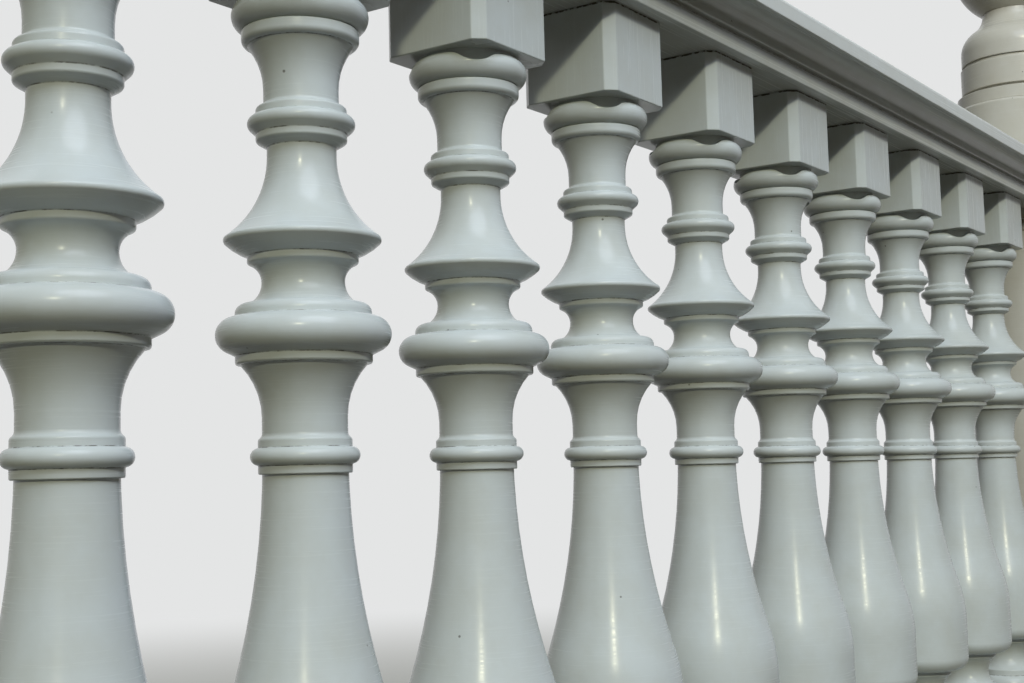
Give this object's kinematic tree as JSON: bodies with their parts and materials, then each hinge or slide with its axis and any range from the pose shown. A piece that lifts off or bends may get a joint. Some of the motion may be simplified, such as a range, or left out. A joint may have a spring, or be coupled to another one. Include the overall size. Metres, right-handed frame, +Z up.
{
  "type": "balustrade",
  "caption": "One bay of a balustrade: turned, painted balusters with square blocks between a moulded handrail and a bottom rail, closed at each end by a round newel post with a ball top.",
  "frame": {"origin": "on the floor below the middle of the bay", "axes": "+X along the rail, +Y across it, +Z up; the posts stand at both ends of X"},
  "size_m": [2.6, 0.19, 1.3543],
  "materials": {
    "baluster_paint": "turned timber under satin off-white paint with a cool grey cast",
    "rail_paint": "moulded timber under satin off-white paint",
    "post_paint": "turned timber under satin off-white paint with a warm cast"
  },
  "bodies": {
    "root": {"bottom_rail": "rail_paint", "bottom_board": "rail_paint", "rail_board": "rail_paint", "handrail": "rail_paint", "baluster_01": "baluster_paint", "baluster_02": "baluster_paint", "baluster_03": "baluster_paint", "baluster_04": "baluster_paint", "baluster_05": "baluster_paint", "baluster_06": "baluster_paint", "baluster_07": "baluster_paint", "baluster_08": "baluster_paint", "baluster_09": "baluster_paint", "baluster_10": "baluster_paint", "baluster_11": "baluster_paint", "baluster_12": "baluster_paint", "left_post_foot_drum": "post_paint", "left_post_base_bead": "post_paint", "left_post_shaft": "post_paint", "left_post_rail_drum": "post_paint", "left_post_neck_band": "post_paint", "left_post_shoulder": "post_paint", "left_post_ball": "post_paint", "right_post_foot_drum": "post_paint", "right_post_base_bead": "post_paint", "right_post_shaft": "post_paint", "right_post_rail_drum": "post_paint", "right_post_neck_band": "post_paint", "right_post_shoulder": "post_paint", "right_post_ball": "post_paint"}
  },
  "joints": []
}
